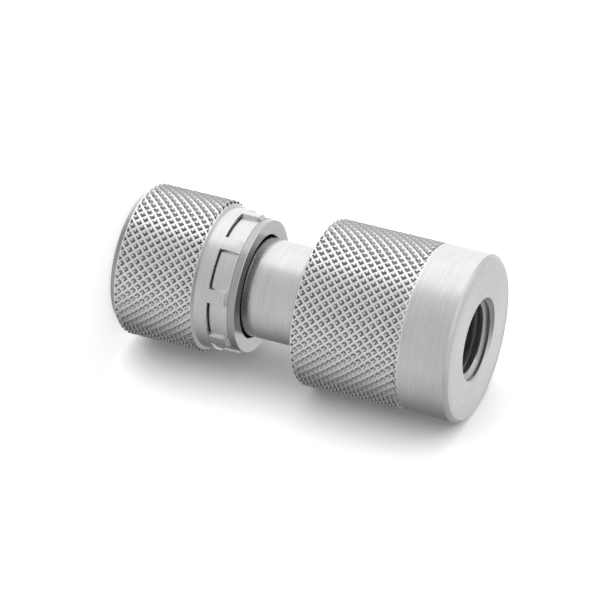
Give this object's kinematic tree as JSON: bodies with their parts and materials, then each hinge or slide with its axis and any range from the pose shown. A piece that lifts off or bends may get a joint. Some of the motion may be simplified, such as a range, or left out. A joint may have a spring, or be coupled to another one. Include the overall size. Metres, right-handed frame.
{
  "type": "quick-test connector",
  "caption": "Test connector with a knurled grip, a plain neck and a knurled coupling nut that spins freely. A tapered female port opens in the end of the grip.",
  "frame": {"origin": "centre of the mouth of the coupling nut, on the common axis", "axes": "+Z along the common axis, from the nut's mouth towards the port in the end of the grip"},
  "size_m": [0.0206, 0.0206, 0.0444],
  "materials": {
    "turned_steel": "turned and knurled",
    "polished_steel": "polished",
    "spring_steel": "plain",
    "black_rubber": "satin",
    "white_plastic": "satin"
  },
  "bodies": {
    "body": {"body": "turned_steel", "snap_ring": "spring_steel", "nose_o_ring": "black_rubber", "backup_ring": "white_plastic", "depressor_pin": "turned_steel"},
    "nut": {"coupling_nut": "turned_steel", "retaining_ring": "polished_steel"}
  },
  "joints": [
    {"name": "nut_spin", "type": "hinge", "parent": "body", "child": "nut", "pos_m": [0, 0, 0.0077], "axis": [0, 0, 1], "continuous": true}
  ]
}
